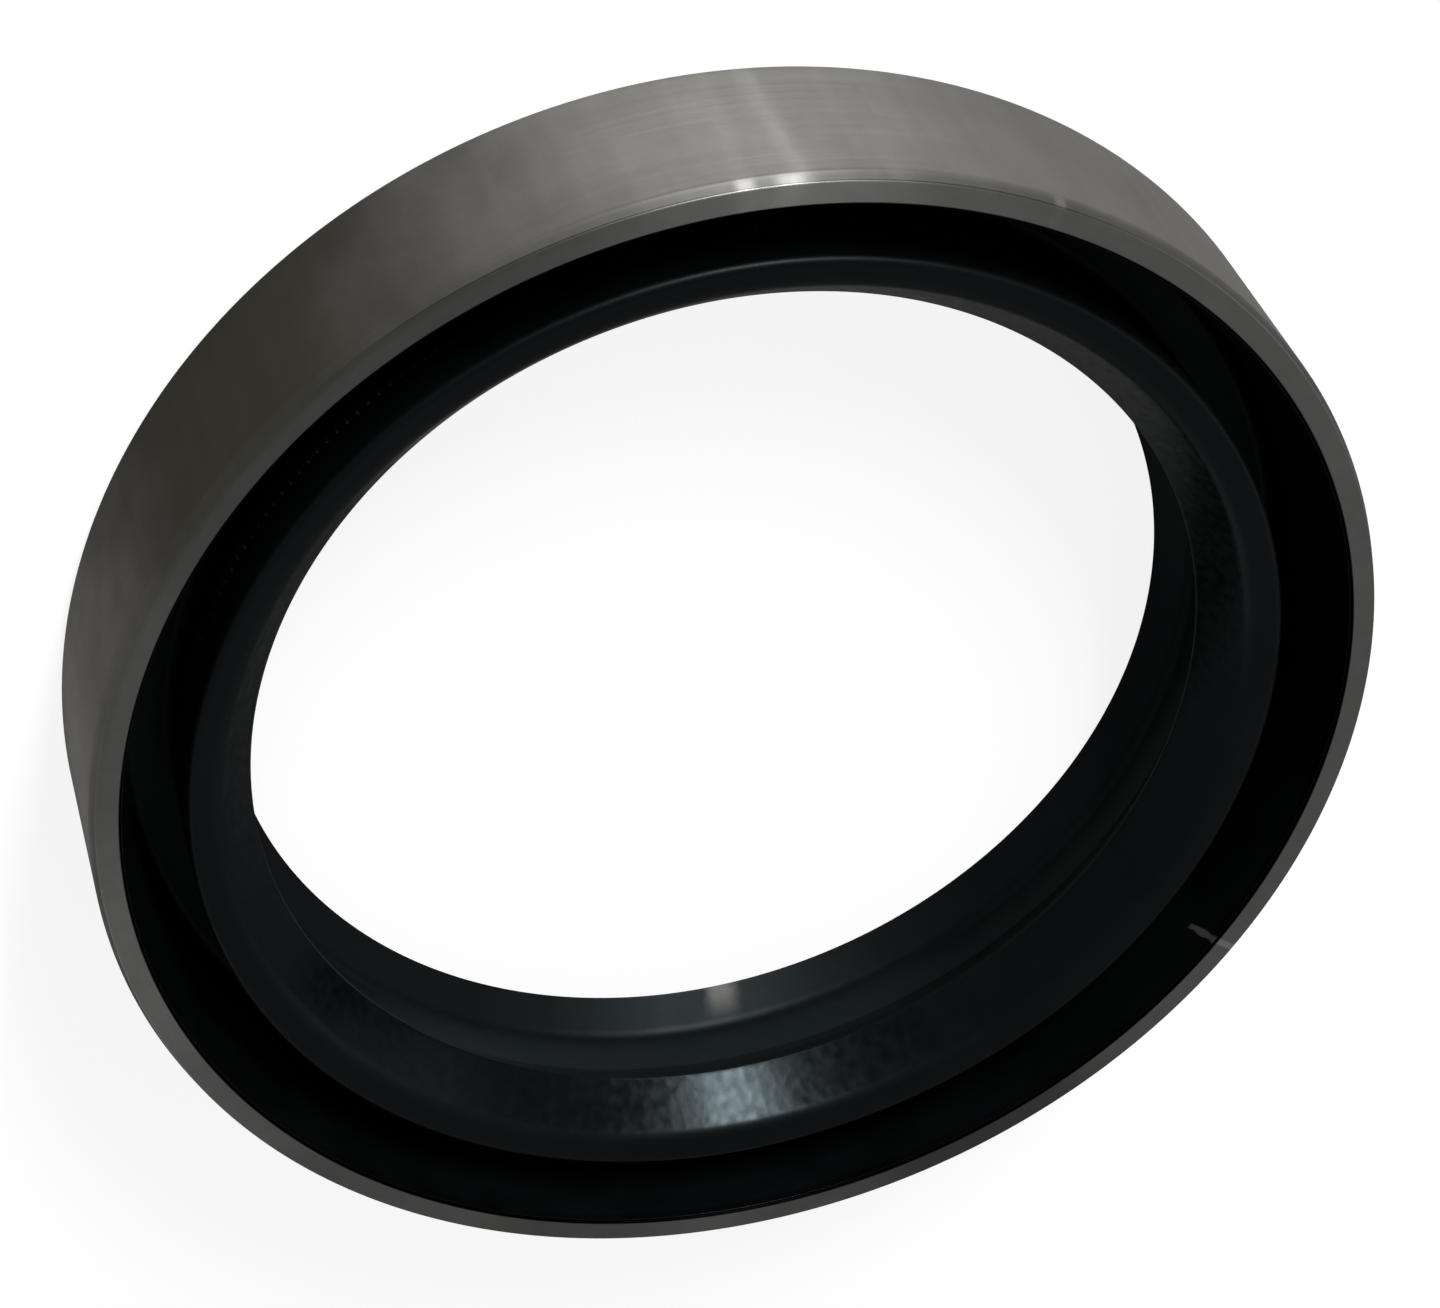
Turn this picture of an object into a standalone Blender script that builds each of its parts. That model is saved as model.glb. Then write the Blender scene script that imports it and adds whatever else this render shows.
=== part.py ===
"""Rotary shaft oil seal, 55 x 72 x 12 mm: a pressed steel case, a moulded rubber lip and a garter spring.

The seal lies on its closed face with its open, oil side up. The origin is the middle of the closed face and
the axis of the shaft is +Z. All lengths are in metres. Each round piece is a section in the XZ plane, turned
about the Z axis.
"""
import math

import bpy
from mathutils import Vector

# The shaft, the housing and the width that they leave
SHAFT_DIAMETER = 0.055
SECTION_HEIGHT = 0.0085
WIDTH = 0.012

# The pressed steel case
SHEET = 0.0016
OUTER_BEND = 0.0008
INNER_BEND = 0.0008
LEAD_IN_LENGTH = 0.0007
LEAD_IN_DEPTH = 0.00025
EDGE_BREAK = 0.00018

# The main lip, measured down from the open edge and out from its contact edge
LIP_INTERFERENCE = 0.0006
CONTACT_DEPTH = 0.0044
CREST_DEPTH = 0.0014
HEAD_DEPTH = 0.001
OIL_SIDE_ANGLE = math.radians(35.0)
AIR_SIDE_ANGLE = math.radians(34.0)
THROAT_DEPTH = 0.0017
CONTACT_FLAT = 0.00012
CREST_ROUNDING = 0.0006
HEAD_ROUNDING = 0.0004
THROAT_ROUNDING = 0.0006

# The web that carries the lip, and the rubber bonded to the case
WEB_THICKNESS = 0.00125
WEB_FLARE = 0.0003
WEB_FILLET = 0.0008
NOSE_THICKNESS = 0.0017
COVER_THICKNESS = 0.0009
LINING_THICKNESS = 0.0006
LINING_DEPTH = 0.0006
LINING_ROUNDING = 0.0004
BOND_GAP = 0.0003

# The dust lip at the closed end
DUST_INTERFERENCE = 0.0004
DUST_TIP_HEIGHT = 0.00025
DUST_LIP_HEIGHT = 0.00185
DUST_TIP_THICKNESS = 0.0003
DUST_ROOT_THICKNESS = 0.00075
NOSE_LAND = 0.0005
RELIEF_ROUNDING = 0.0002

# The garter spring and its groove
SPRING_DIAMETER = 0.0018
SPRING_GAP = 0.0003
SPRING_OFFSET = 0.0004
RUBBER_UNDER_SPRING = 0.00185
RETAINER_REACH = 0.00085
SHOULDER_REACH = 0.00055
SHOULDER_THICKNESS = 0.0005

# How finely the round pieces are divided
TURN_STEPS = 80
SPRING_SIDES = 10
GROOVE_STEPS = 8
ROUNDING_STEP = 0.00024
SHARP_ANGLE = math.radians(28.0)
MERGE_DISTANCE = 0.00001

# Radii and heights that follow from the sizes above
SHAFT_RADIUS = SHAFT_DIAMETER / 2
CASE_RADIUS = SHAFT_RADIUS + SECTION_HEIGHT
CASE_BORE = CASE_RADIUS - SHEET
CONTACT_RADIUS = SHAFT_RADIUS - LIP_INTERFERENCE
CONTACT_HEIGHT = WIDTH - CONTACT_DEPTH
CREST_HEIGHT = WIDTH - CREST_DEPTH
CREST_RADIUS = CONTACT_RADIUS + (CREST_HEIGHT - CONTACT_HEIGHT) * math.tan(OIL_SIDE_ANGLE)
THROAT_RADIUS = CONTACT_RADIUS + THROAT_DEPTH
THROAT_HEIGHT = CONTACT_HEIGHT - THROAT_DEPTH / math.tan(AIR_SIDE_ANGLE)
NOSE_RADIUS = THROAT_RADIUS + WEB_FLARE
FLANGE_RADIUS = NOSE_RADIUS + NOSE_THICKNESS + BOND_GAP
FLOOR_HEIGHT = SHEET + BOND_GAP + COVER_THICKNESS
GROOVE_RADIUS = SPRING_DIAMETER / 2 + SPRING_GAP
SPRING_RADIUS = CONTACT_RADIUS + RUBBER_UNDER_SPRING + GROOVE_RADIUS
SPRING_HEIGHT = CONTACT_HEIGHT - SPRING_OFFSET
HEAD_RADIUS = SPRING_RADIUS + RETAINER_REACH
HEAD_HEIGHT = WIDTH - HEAD_DEPTH
LINING_OUTSIDE = CASE_BORE - BOND_GAP
LINING_INSIDE = LINING_OUTSIDE - LINING_THICKNESS
LINING_TOP = WIDTH - LINING_DEPTH


def arc(centre, radius, first, last, steps):
    """Corners along an arc in the section plane, from one angle in degrees to another, ends included."""
    corners = []
    for step in range(steps + 1):
        angle = math.radians(first + (last - first) * step / steps)
        corners.append((centre[0] + radius * math.cos(angle), centre[1] + radius * math.sin(angle), 0.0))
    return corners


def rounded(corners):
    """The points of a closed section whose corners (radius, height, rounding) are turned into arcs."""
    points = []
    for index, (radius, height, rounding) in enumerate(corners):
        corner = Vector((radius, height))
        if rounding == 0.0:
            points.append(corner)
            continue
        back = (Vector(corners[index - 1][:2]) - corner).normalized()
        ahead = (Vector(corners[(index + 1) % len(corners)][:2]) - corner).normalized()
        half_angle = back.angle(ahead) / 2
        centre = corner + (back + ahead).normalized() * rounding / math.sin(half_angle)
        first = corner + back * rounding / math.tan(half_angle) - centre
        last = corner + ahead * rounding / math.tan(half_angle) - centre
        sweep = first.angle(last)
        steps = max(1, round(rounding / ROUNDING_STEP))
        for step in range(steps + 1):
            along = sweep * step / steps
            spoke = (first * math.sin(sweep - along) + last * math.sin(along)) / math.sin(sweep)
            points.append(centre + spoke)
    return points


def material(name, colour, roughness, metallic):
    """A Principled material with one colour."""
    made = bpy.data.materials.new(name)
    made.use_nodes = True
    shader = made.node_tree.nodes["Principled BSDF"]
    shader.inputs["Base Color"].default_value = (*colour, 1.0)
    shader.inputs["Roughness"].default_value = roughness
    shader.inputs["Metallic"].default_value = metallic
    made.diffuse_color = (*colour, 1.0)
    return made


def shade(mesh):
    """Smooth shading that keeps the section's corners crisp."""
    mesh.shade_smooth()
    mesh.set_sharp_from_angle(angle=SHARP_ANGLE)


def turned(name, section, finish, collection):
    """Turns a closed section round the Z axis. The section runs down its outer side and up its inner one."""
    profile = bpy.data.meshes.new(name + "_section")
    corners = [(radius, 0.0, height) for radius, height in rounded(section)]
    edges = [(index, (index + 1) % len(corners)) for index in range(len(corners))]
    profile.from_pydata(corners, edges, [])
    lathe = bpy.data.objects.new(name + "_section", profile)
    collection.objects.link(lathe)
    screw = lathe.modifiers.new("turn", "SCREW")
    screw.axis = "Z"
    screw.angle = math.tau
    screw.steps = TURN_STEPS
    screw.render_steps = TURN_STEPS
    screw.use_merge_vertices = True
    screw.merge_threshold = MERGE_DISTANCE
    depsgraph = bpy.context.evaluated_depsgraph_get()
    mesh = bpy.data.meshes.new_from_object(lathe.evaluated_get(depsgraph))
    bpy.data.objects.remove(lathe)
    mesh.name = name
    shade(mesh)
    mesh.materials.clear()
    mesh.materials.append(finish)
    piece = bpy.data.objects.new(name, mesh)
    collection.objects.link(piece)


def case_section():
    """An L-shaped section: the wall, the bend at the closed end, and the flange that reaches inwards."""
    return [
        (CASE_RADIUS - LEAD_IN_DEPTH, WIDTH, EDGE_BREAK),
        (CASE_RADIUS, WIDTH - LEAD_IN_LENGTH, 0.0),
        (CASE_RADIUS, 0.0, OUTER_BEND),
        (FLANGE_RADIUS, 0.0, 0.0),
        (FLANGE_RADIUS, SHEET, 0.0),
        (CASE_BORE, SHEET, INNER_BEND),
        (CASE_BORE, WIDTH, EDGE_BREAK),
    ]


def bonded_side():
    """The rubber against the case: down the wall, in along the flange and down its inner edge."""
    edge = FLANGE_RADIUS - BOND_GAP
    top_of_flange = SHEET + BOND_GAP
    return [
        (LINING_OUTSIDE, LINING_TOP, 0.0),
        (LINING_OUTSIDE, top_of_flange, INNER_BEND),
        (edge, top_of_flange, 0.0),
        (edge, 0.0, 0.0),
    ]


def dust_lip():
    """A tongue that slants down and inwards to the shaft, with a V-shaped relief between it and the nose."""
    tip_radius = SHAFT_RADIUS - DUST_INTERFERENCE
    root_height = DUST_TIP_HEIGHT + DUST_LIP_HEIGHT
    slant = math.atan2(NOSE_RADIUS - tip_radius, DUST_LIP_HEIGHT)
    out, down = math.cos(slant), math.sin(slant)
    relief = (NOSE_RADIUS + DUST_ROOT_THICKNESS * out, root_height - DUST_ROOT_THICKNESS * down)
    tip_outside = (tip_radius + DUST_TIP_THICKNESS * out, DUST_TIP_HEIGHT - DUST_TIP_THICKNESS * down)
    return [
        (FLANGE_RADIUS - BOND_GAP - NOSE_LAND, 0.0, 0.0),
        (*relief, RELIEF_ROUNDING),
        (*tip_outside, 0.0),
        (tip_radius, DUST_TIP_HEIGHT, 0.0),
        (NOSE_RADIUS, root_height, THROAT_ROUNDING),
    ]


def lip_face():
    """The side that faces the shaft: up the throat, over the contact edge and the crest to the head."""
    flat = CONTACT_FLAT / 2
    return [
        (THROAT_RADIUS, THROAT_HEIGHT, THROAT_ROUNDING),
        (CONTACT_RADIUS, CONTACT_HEIGHT - flat, 0.0),
        (CONTACT_RADIUS, CONTACT_HEIGHT + flat, 0.0),
        (CREST_RADIUS, CREST_HEIGHT, CREST_ROUNDING),
        (HEAD_RADIUS, HEAD_HEIGHT, HEAD_ROUNDING),
    ]


def channel():
    """The side away from the shaft: the spring's groove, the web, the floor and the lining of the wall."""
    upper = math.degrees(math.acos(RETAINER_REACH / GROOVE_RADIUS))
    lower = math.degrees(math.acos(SHOULDER_REACH / GROOVE_RADIUS))
    groove = arc((SPRING_RADIUS, SPRING_HEIGHT), GROOVE_RADIUS, upper, 360.0 - lower, GROOVE_STEPS)
    shoulder_radius = SPRING_RADIUS + SHOULDER_REACH
    shoulder_height = groove[-1][1] - SHOULDER_THICKNESS
    web_top = shoulder_height - SHOULDER_THICKNESS
    return groove + [
        (shoulder_radius, shoulder_height, 0.0),
        (THROAT_RADIUS + WEB_THICKNESS, web_top, 0.0),
        (NOSE_RADIUS + WEB_THICKNESS, FLOOR_HEIGHT, WEB_FILLET),
        (LINING_INSIDE, FLOOR_HEIGHT, WEB_FILLET),
        (LINING_INSIDE, LINING_TOP, LINING_ROUNDING),
    ]


def rubber_section():
    """The moulding's whole section, in one run from the top of the lining and back to it."""
    return bonded_side() + dust_lip() + lip_face() + channel()


def spring_section():
    """The coiled spring's outline, a circle of the coil's outer diameter."""
    return arc((SPRING_RADIUS, SPRING_HEIGHT), SPRING_DIAMETER / 2, 90.0, -270.0, SPRING_SIDES)[:-1]


def main():
    for thing in list(bpy.data.objects):
        bpy.data.objects.remove(thing)
    seal = bpy.data.collections.new("oil_seal")
    bpy.context.scene.collection.children.link(seal)
    steel = material("satin_steel", (0.36, 0.35, 0.33), 0.38, 1.0)
    rubber = material("black_rubber", (0.012, 0.013, 0.014), 0.42, 0.0)
    wire = material("spring_wire", (0.5, 0.5, 0.5), 0.3, 1.0)
    turned("steel_case", case_section(), steel, seal)
    turned("rubber_lip", rubber_section(), rubber, seal)
    turned("garter_spring", spring_section(), wire, seal)


main()
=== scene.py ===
"""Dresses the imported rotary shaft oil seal: satin steel case, moulded rubber lip and coiled garter spring.

The file is laid out as a Blender add-on and is run as a script. All lengths are in metres. The seal lies on its
closed face, the shaft's axis is Z, and azimuth 0 is the side that faces -Y.
"""
import math

import bpy
from bpy.props import FloatProperty, FloatVectorProperty, IntProperty, PointerProperty
from mathutils import Matrix, Vector


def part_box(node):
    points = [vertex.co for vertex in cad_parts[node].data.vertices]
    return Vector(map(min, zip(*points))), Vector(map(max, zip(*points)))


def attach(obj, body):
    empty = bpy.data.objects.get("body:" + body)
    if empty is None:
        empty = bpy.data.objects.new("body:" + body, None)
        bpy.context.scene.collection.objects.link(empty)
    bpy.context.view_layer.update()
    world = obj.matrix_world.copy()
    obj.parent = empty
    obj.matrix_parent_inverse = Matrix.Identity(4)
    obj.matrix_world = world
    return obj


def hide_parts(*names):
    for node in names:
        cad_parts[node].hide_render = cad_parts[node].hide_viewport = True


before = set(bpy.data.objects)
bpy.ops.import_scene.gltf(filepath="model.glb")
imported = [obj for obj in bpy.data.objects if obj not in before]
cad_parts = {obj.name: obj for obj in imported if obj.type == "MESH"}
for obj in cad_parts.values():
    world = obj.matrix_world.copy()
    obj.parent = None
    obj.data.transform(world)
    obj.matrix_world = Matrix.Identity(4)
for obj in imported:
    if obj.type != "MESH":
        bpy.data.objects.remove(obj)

bl_info = {
    "name": "Oil Seal",
    "version": (1, 0, 0),
    "blender": (4, 5, 0),
    "location": "View3D > Sidebar > Oil Seal",
    "description": "Builds the case, lip and spring of a rotary shaft oil seal, and the stage they stand on",
    "category": "Add Mesh",
}

MM = 0.001
CASE_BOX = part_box("steel_case")
LIP_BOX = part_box("rubber_lip")
SPRING_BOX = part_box("garter_spring")

# How finely the round pieces are divided
TURN_STEPS = 288
ARC_STEP = 0.00009
SUPPORT = 0.00006
LEAST_ROUNDING = 0.00005
SHARP_ANGLE = math.radians(40.0)
MERGE_DISTANCE = 0.000001

# Rubber that reaches this far into the steel leaves no light between them
BOND_OVERLAP = 0.00002

# The floor lies this far under the closed face, and light from below passes through it to what is within reach
FLOOR_DROP = 0.00001
CLOSED_FACE_REACH = 0.0001
FLOOR_SIDES = 96

# The rubber round the coil, from the middle of the coil's section: the groove's arc in degrees, the height of the
# retaining corner, and the place, depth and height of the shoulder below, down to where the web starts
GROOVE_ARC = (45.0, 297.0)
RETAINER_RISE = 0.847 * MM
SHOULDER_OUT = 0.55 * MM
SHOULDER_DROP = 1.066 * MM
SHOULDER_SIDE = 0.5 * MM
WEB_DROP = 1.0 * MM

# Half the thickness of the coil, which leads from the outside of the spring to its ring
NOMINAL_COIL_RADIUS = 0.9 * MM


def length(name, description, default):
    """A size in metres that a user can change."""
    return FloatProperty(
        name=name, description=description, default=default, min=0.0, unit="LENGTH", precision=6
    )


def colour(name, description, default):
    """A linear colour that a user can change."""
    return FloatVectorProperty(
        name=name, description=description, default=default, min=0.0, max=1.0, size=3, subtype="COLOR"
    )


def share(name, description, default):
    """A number from 0 to 1 that a user can change."""
    return FloatProperty(
        name=name, description=description, default=default, min=0.0, max=1.0, subtype="FACTOR"
    )


class CaseSizes(bpy.types.PropertyGroup):
    """Sizes of the pressed steel case"""

    outer_radius: length("Outer Radius", "Radius of the band that presses into the housing", CASE_BOX[1].x)
    width: length("Width", "Height of the case along the shaft", CASE_BOX[1].z)
    sheet: length("Sheet", "Thickness of the steel", 1.6 * MM)
    outer_bend: length("Outer Bend", "Outside radius of the bend at the closed face", 0.8 * MM)
    inner_bend: length("Inner Bend", "Inside radius of the bend at the closed face", 0.8 * MM)
    lead_in_length: length("Lead-in Length", "Height of the taper at the open edge", 0.7 * MM)
    lead_in_depth: length("Lead-in Depth", "How far the taper draws in the open edge", 0.25 * MM)
    edge_break: length("Edge Break", "Rounding of the cut edges", 0.1 * MM)
    flange_radius: length("Flange Radius", "Radius of the hole in the flange", 30.9 * MM)


class LipSizes(bpy.types.PropertyGroup):
    """Sizes of the moulded rubber"""

    contact_radius: length("Contact Radius", "Radius of the edge that runs on the shaft", 26.9 * MM)
    contact_height: length("Contact Height", "Height of the contact edge", 7.6 * MM)
    contact_flat: length("Contact Flat", "Width of the land worn on the contact edge", 0.12 * MM)
    crest_height: length("Crest Height", "Height at which the oil-side cone ends", 10.7 * MM)
    crest_rounding: length("Crest Rounding", "Radius of the rounded crest", 1.4 * MM)
    cone_crown: length("Cone Crown", "How far the oil-side cone bulges between its ends", 0.03 * MM)
    oil_side_angle: FloatProperty(
        name="Oil-side Angle",
        description="Angle of the oil-side cone from the shaft",
        default=math.radians(35.0),
        subtype="ANGLE",
    )
    air_side_angle: FloatProperty(
        name="Air-side Angle",
        description="Angle of the air-side cone from the shaft",
        default=math.radians(34.0),
        subtype="ANGLE",
    )
    throat_depth: length("Throat Depth", "How far the throat lies behind the contact edge", 1.7 * MM)
    head_radius: length("Head Radius", "Outside radius of the lip's head", 30.8 * MM)
    head_height: length("Head Height", "Height of the head's outer corner", 11.0 * MM)
    web_thickness: length("Web Thickness", "Thickness of the web that carries the head", 1.25 * MM)
    web_flare: length("Web Flare", "How far the web opens towards the closed face", 0.3 * MM)
    floor_height: length("Floor Height", "Height of the rubber floor of the channel", 2.8 * MM)
    lining_top: length("Lining Top", "Height of the lining's edge on the case wall", LIP_BOX[1].z)
    lining_taper: length("Lining Taper", "Height over which the lining thins out to its edge", 4.0 * MM)
    lining_inside: length("Lining Inside", "Inner radius of the lining on the case wall", 33.5 * MM)
    flash_top: length("Flash Top", "Height of the thin film of rubber on the bore above the lining", 11.86 * MM)
    flash_depth: length("Flash Depth", "Thickness of that film", 0.05 * MM)
    dust_radius: length("Dust Lip Radius", "Radius of the dust lip's edge", 27.1 * MM)
    dust_tip_height: length("Dust Tip Height", "Height of the dust lip's edge", 0.25 * MM)
    dust_height: length("Dust Lip Height", "Height of the dust lip above its edge", 1.85 * MM)
    dust_tip: length("Dust Tip Thickness", "Thickness of the dust lip at its edge", 0.3 * MM)
    dust_root: length("Dust Root Thickness", "Thickness of the dust lip where it leaves the nose", 0.75 * MM)
    nose_land: length("Nose Land", "Width of the flat rubber beside the flange", 0.5 * MM)


class CoilSizes(bpy.types.PropertyGroup):
    """Sizes of the garter spring"""

    ring_radius: length(
        "Ring Radius", "Radius of the ring that the coil follows", SPRING_BOX[1].x - NOMINAL_COIL_RADIUS
    )
    ring_height: length(
        "Ring Height", "Height of the coil's centre", (SPRING_BOX[0].z + SPRING_BOX[1].z) / 2
    )
    coil_radius: length("Coil Radius", "Outside radius of the coil", (SPRING_BOX[1].z - SPRING_BOX[0].z) / 2)
    wire_radius: length("Wire Radius", "Radius of the wire", 0.175 * MM)
    turns: IntProperty(name="Turns", description="Number of turns in the coil", default=520, min=3)
    turn_points: IntProperty(name="Points per Turn", description="Points on each turn", default=14, min=6)
    wire_sides: IntProperty(name="Wire Sides", description="Sides of the wire's section", default=6, min=3)


class Finishes(bpy.types.PropertyGroup):
    """Colours and textures of the seal"""

    steel: colour("Steel", "Clean satin steel", (0.45, 0.441, 0.414))
    # The brownish area's colour is partly stain and partly painted shade on one side of the band
    stain_and_shade: colour("Brown Patch", "Darker steel of the brownish patch on the band", (0.122, 0.112, 0.092))
    # Bright steel of the streaks and the scratch, and of the painted glints on the rim's rubbed spots
    streak_and_glint: colour("Streak", "Bright steel of the streaks and rubbed spots", (0.74, 0.73, 0.70))
    cut_edge: colour("Cut Edge", "Steel of the sheared open rim", (0.185, 0.188, 0.176))
    rubber: colour("Rubber", "Black moulded rubber", (0.0008, 0.0011, 0.0012))
    rubber_bloom: colour("Rubber Bloom", "Greyish film on the rubber", (0.0020, 0.0026, 0.0028))
    rubber_glint: colour("Rubber Glint", "Tint of the rubber's reflections", (0.74, 0.93, 1.0))
    dust: colour("Dust", "Dust in the scratch", (0.055, 0.057, 0.050))
    # The colour of a painted highlight on the dust lip
    lip_highlight: colour("Smudge", "Pale smudge on the dust lip", (0.155, 0.147, 0.13))
    # The colour of a painted sheen on the air side of the lip
    throat_sheen: colour("Throat Film", "Film on the air side of the lip", (0.0085, 0.0122, 0.0122))
    # Far darker than bright drawn wire: painted shade for the dark channel that the spring lies in
    wire: colour("Wire", "Drawn spring wire", (0.13, 0.13, 0.135))
    steel_roughness: share("Steel Roughness", "Roughness of the clean steel", 0.42)
    steel_grain: share("Steel Grain", "How much lower the roughness is round the band than along it", 0.65)
    rubber_roughness: share("Rubber Roughness", "Roughness of the moulded faces", 0.42)
    lip_roughness: share("Lip Roughness", "Roughness of the trimmed oil-side cone", 0.25)
    rubber_shine: share("Rubber Shine", "Specular level of the rubber", 0.15)


class StageSettings(bpy.types.PropertyGroup):
    """Camera, lamps, floor and surroundings"""

    lens: FloatProperty(name="Lens", description="Focal length in millimetres", default=94.3325, min=1.0)
    camera_place: FloatVectorProperty(
        name="Camera Place",
        description="Where the camera stands",
        default=(-0.5 * MM, -136.35 * MM, 164.42 * MM),
        size=3,
        subtype="TRANSLATION",
    )
    camera_tilt: FloatProperty(
        name="Camera Tilt",
        description="Angle between the view and straight down",
        default=math.radians(40.1),
        subtype="ANGLE",
    )
    camera_roll: FloatProperty(
        name="Camera Roll",
        description="Turn of the camera about its own view",
        default=math.radians(155.93),
        subtype="ANGLE",
    )
    floor_radius: length("Floor Radius", "Radius of the round floor", 6.0)
    floor_colour: colour("Floor Colour", "Colour of the floor in the lamps' light", (0.26, 0.26, 0.26))
    floor_glow: share("Floor Glow", "Brightness that the floor has on top where it is seen", 0.85)
    floor_mirrored: colour("Floor Mirrored", "Colour of the floor in reflections", (0.48, 0.48, 0.48))
    sky: FloatProperty(name="Surroundings", description="Brightness of the room", default=0.35, min=0.0)
    horizon: FloatProperty(
        name="Horizon", description="Brightness of the room at floor level", default=0.45, min=0.0
    )


# The lamps: name, azimuth and elevation in degrees, distance, width, height, radiance
LAMPS = (
    ("key_lamp", -33.2, 28.0, 1.2, 0.17, 0.50, 45.0),
    ("side_lamp", -110.0, 22.0, 1.2, 1.00, 0.50, 0.5),
    ("back_lamp", 130.0, 18.0, 1.2, 0.60, 0.40, 0.5),
)

# Streaks that run along the shaft on the band: azimuth and width in degrees, lean in degrees per mm, strength
STREAKS = (
    (-22.2, 1.5, -0.03, 0.30),
    (-18.9, 1.2, 0.10, 0.14),
    (-32.5, 2.6, 0.18, 0.10),
)

# Rubbed spots on the rim's outer corner, painted bright as glints: azimuth and width in degrees, strength
RUBBED_RIM_GLINTS = ((-21.2, 1.7, 0.7), (-17.6, 1.2, 0.6), (-44.6, 0.8, 0.4))

# Painted shade and painted highlights along the cut edge: azimuth, half width and fade in degrees, and the share
# of its brightness that each keeps
CUT_SHADE_AND_HIGHLIGHTS = (
    (18.0, 14.0, 34.0, 0.70),
    (174.0, 8.0, 40.0, 0.62),
    (128.0, 10.0, 24.0, 0.80),
    (-174.0, 5.0, 17.0, 0.66),
    (144.0, 4.0, 13.0, 0.78),
    (82.0, 6.0, 20.0, 1.30),
    (-25.0, 3.0, 11.0, 1.28),
)

# A light scratch across the open rim and down the rubber inside it: azimuth at the rim and width in degrees,
# lean in degrees per mm, inner radius and lower end in mm. Its ends fade over SCRATCH_FADE, also in mm.
SCRATCH = (-143.8, 0.45, 0.67, 33.4, 9.7)
SCRATCH_FADE = 0.3

# A painted highlight on the dust lip, pale and warm: azimuth and half width in degrees
DUST_LIP_HIGHLIGHT = (163.2, 2.9)

# The brownish area on the band, partly stain and partly painted shade; the painted shade on the rim's corner; the
# painted sheen on the throat; and the duller oil-side cone: azimuth, half width and fade in degrees
STAIN_AND_SHADE_AREA = (28.0, 6.0, 42.0)
SHADED_RIM_CORNER = (-20.0, 22.0, 45.0)
THROAT_SHEEN = (152.0, 22.0, 45.0)
DULL_CONE = (58.0, 26.0, 46.0)

# How much of the surface under it each colour covers
CUT_COVER = 0.85
SCRATCH_COVER = 0.35
BLOOM_COVER = 0.7
DUST_COVER = 0.9

# Painted shade on the steel: the share of its brightness that it keeps beside the rim and on the rim's corner
RIM_DUSK = 0.52
CORNER_DUSK = 0.35

# How far each texture raises the steel, the rubber or the wire
TURNING_DEPTH = 0.0000015
GRAIN_DEPTH = 0.000002
RINGS_DEPTH = 0.000002
UNEVEN_DEPTH = 0.000014
RIPPLE_DEPTH = 0.000011
PORES_DEPTH = 0.0000006
LINES_DEPTH = 0.000001


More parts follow.
